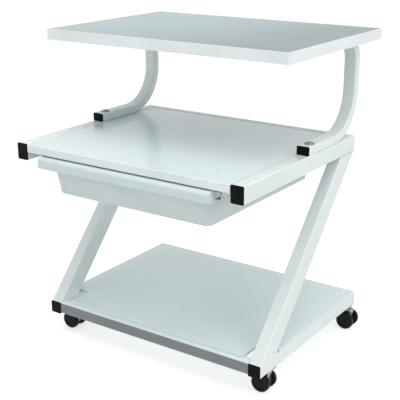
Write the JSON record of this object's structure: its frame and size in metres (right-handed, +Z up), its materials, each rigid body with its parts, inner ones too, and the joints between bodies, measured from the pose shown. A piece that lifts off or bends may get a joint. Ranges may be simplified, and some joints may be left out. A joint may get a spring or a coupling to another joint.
{
  "type": "mobile printer stand",
  "caption": "Wheeled tube-frame printer stand with Z-shaped sides, a raised top shelf on bent supports, a middle shelf with a sliding drawer and a bottom shelf.",
  "frame": {"origin": "on the floor, under the centre of the bounding box", "axes": "+X to the right, +Y to the back, +Z up"},
  "size_m": [0.634, 0.576, 0.74],
  "materials": {
    "frame_paint": "satin powder coat",
    "board_laminate": "satin laminate",
    "top_laminate": "satin brushed laminate",
    "edge_band": "satin",
    "tray_plastic": "fine moulded texture",
    "cap_black": "satin",
    "wheel_black": "satin",
    "zinc_plate": "bright zinc plate",
    "fastener_steel": "zinc plate",
    "bolt_dark": "dark oxide"
  },
  "bodies": {
    "frame": {"base_rear_caps": "cap_black", "bottom_shelf": "board_laminate", "bottom_shelf_screws": "fastener_steel", "castor_kingpins": "fastener_steel", "castor_plate_screws": "fastener_steel", "front_base_crossbar": "frame_paint", "front_left_castor_plate": "zinc_plate", "front_right_castor_plate": "zinc_plate", "left_base_front_cap": "cap_black", "left_base_rail": "frame_paint", "left_drawer_runner": "zinc_plate", "left_slanting_tube": "frame_paint", "left_support_foot_cap": "cap_black", "left_support_tube": "frame_paint", "left_top_rail": "frame_paint", "left_top_rail_cap": "cap_black", "mid_shelf": "board_laminate", "mid_shelf_edging": "edge_band", "mid_shelf_screws": "fastener_steel", "mid_shelf_tabs": "frame_paint", "rear_base_crossbar": "frame_paint", "rear_left_castor_plate": "zinc_plate", "rear_right_castor_plate": "zinc_plate", "rear_top_crossbar": "frame_paint", "right_base_front_cap": "cap_black", "right_base_rail": "frame_paint", "right_drawer_runner": "zinc_plate", "right_slanting_tube": "frame_paint", "right_support_foot_cap": "cap_black", "right_support_tube": "frame_paint", "right_top_rail": "frame_paint", "right_top_rail_cap": "cap_black", "runner_screws": "fastener_steel", "support_bolts": "bolt_dark", "support_rivet_nuts": "fastener_steel", "support_top_caps": "cap_black", "support_washers": "fastener_steel", "top_shelf": "top_laminate", "top_shelf_edging": "edge_band", "top_shelf_screws": "fastener_steel"},
    "front_left_castor": {"front_left_castor_body": "zinc_plate", "front_left_castor_axle": "fastener_steel"},
    "front_left_castor_front_wheel": {"front_left_castor_front_wheel": "wheel_black"},
    "front_left_castor_rear_wheel": {"front_left_castor_rear_wheel": "wheel_black"},
    "front_right_castor": {"front_right_castor_body": "zinc_plate", "front_right_castor_axle": "fastener_steel"},
    "front_right_castor_front_wheel": {"front_right_castor_front_wheel": "wheel_black"},
    "front_right_castor_rear_wheel": {"front_right_castor_rear_wheel": "wheel_black"},
    "rear_left_castor": {"rear_left_castor_body": "zinc_plate", "rear_left_castor_axle": "fastener_steel"},
    "rear_left_castor_front_wheel": {"rear_left_castor_front_wheel": "wheel_black"},
    "rear_left_castor_rear_wheel": {"rear_left_castor_rear_wheel": "wheel_black"},
    "rear_right_castor": {"rear_right_castor_body": "zinc_plate", "rear_right_castor_axle": "fastener_steel"},
    "rear_right_castor_front_wheel": {"rear_right_castor_front_wheel": "wheel_black"},
    "rear_right_castor_rear_wheel": {"rear_right_castor_rear_wheel": "wheel_black"},
    "drawer": {"drawer_tray": "tray_plastic", "drawer_handle": "tray_plastic"}
  },
  "joints": [
    {"name": "front_left_castor_swivel", "type": "hinge", "parent": "frame", "child": "front_left_castor", "pos_m": [-0.285, -0.142, 0.05], "axis": [0, 0, 1], "continuous": true},
    {"name": "front_left_castor_front_wheel_spin", "type": "hinge", "parent": "front_left_castor", "child": "front_left_castor_front_wheel", "pos_m": [-0.277, -0.142, 0.022], "axis": [0, 1, 0], "continuous": true},
    {"name": "front_left_castor_rear_wheel_spin", "type": "hinge", "parent": "front_left_castor", "child": "front_left_castor_rear_wheel", "pos_m": [-0.277, -0.142, 0.022], "axis": [0, 1, 0], "continuous": true},
    {"name": "front_right_castor_swivel", "type": "hinge", "parent": "frame", "child": "front_right_castor", "pos_m": [0.285, -0.142, 0.05], "axis": [0, 0, 1], "continuous": true},
    {"name": "front_right_castor_front_wheel_spin", "type": "hinge", "parent": "front_right_castor", "child": "front_right_castor_front_wheel", "pos_m": [0.277, -0.142, 0.022], "axis": [0, 1, 0], "continuous": true},
    {"name": "front_right_castor_rear_wheel_spin", "type": "hinge", "parent": "front_right_castor", "child": "front_right_castor_rear_wheel", "pos_m": [0.277, -0.142, 0.022], "axis": [0, 1, 0], "continuous": true},
    {"name": "rear_left_castor_swivel", "type": "hinge", "parent": "frame", "child": "rear_left_castor", "pos_m": [-0.285, 0.241, 0.05], "axis": [0, 0, 1], "continuous": true},
    {"name": "rear_left_castor_front_wheel_spin", "type": "hinge", "parent": "rear_left_castor", "child": "rear_left_castor_front_wheel", "pos_m": [-0.293, 0.241, 0.022], "axis": [0, 1, 0], "continuous": true},
    {"name": "rear_left_castor_rear_wheel_spin", "type": "hinge", "parent": "rear_left_castor", "child": "rear_left_castor_rear_wheel", "pos_m": [-0.293, 0.241, 0.022], "axis": [0, 1, 0], "continuous": true},
    {"name": "rear_right_castor_swivel", "type": "hinge", "parent": "frame", "child": "rear_right_castor", "pos_m": [0.285, 0.241, 0.05], "axis": [0, 0, 1], "continuous": true},
    {"name": "rear_right_castor_front_wheel_spin", "type": "hinge", "parent": "rear_right_castor", "child": "rear_right_castor_front_wheel", "pos_m": [0.293, 0.241, 0.022], "axis": [0, 1, 0], "continuous": true},
    {"name": "rear_right_castor_rear_wheel_spin", "type": "hinge", "parent": "rear_right_castor", "child": "rear_right_castor_rear_wheel", "pos_m": [0.293, 0.241, 0.022], "axis": [0, 1, 0], "continuous": true},
    {"name": "drawer_slide", "type": "slide", "parent": "frame", "child": "drawer", "axis": [0, -1, 0], "range_m": [0, 0.3]}
  ]
}
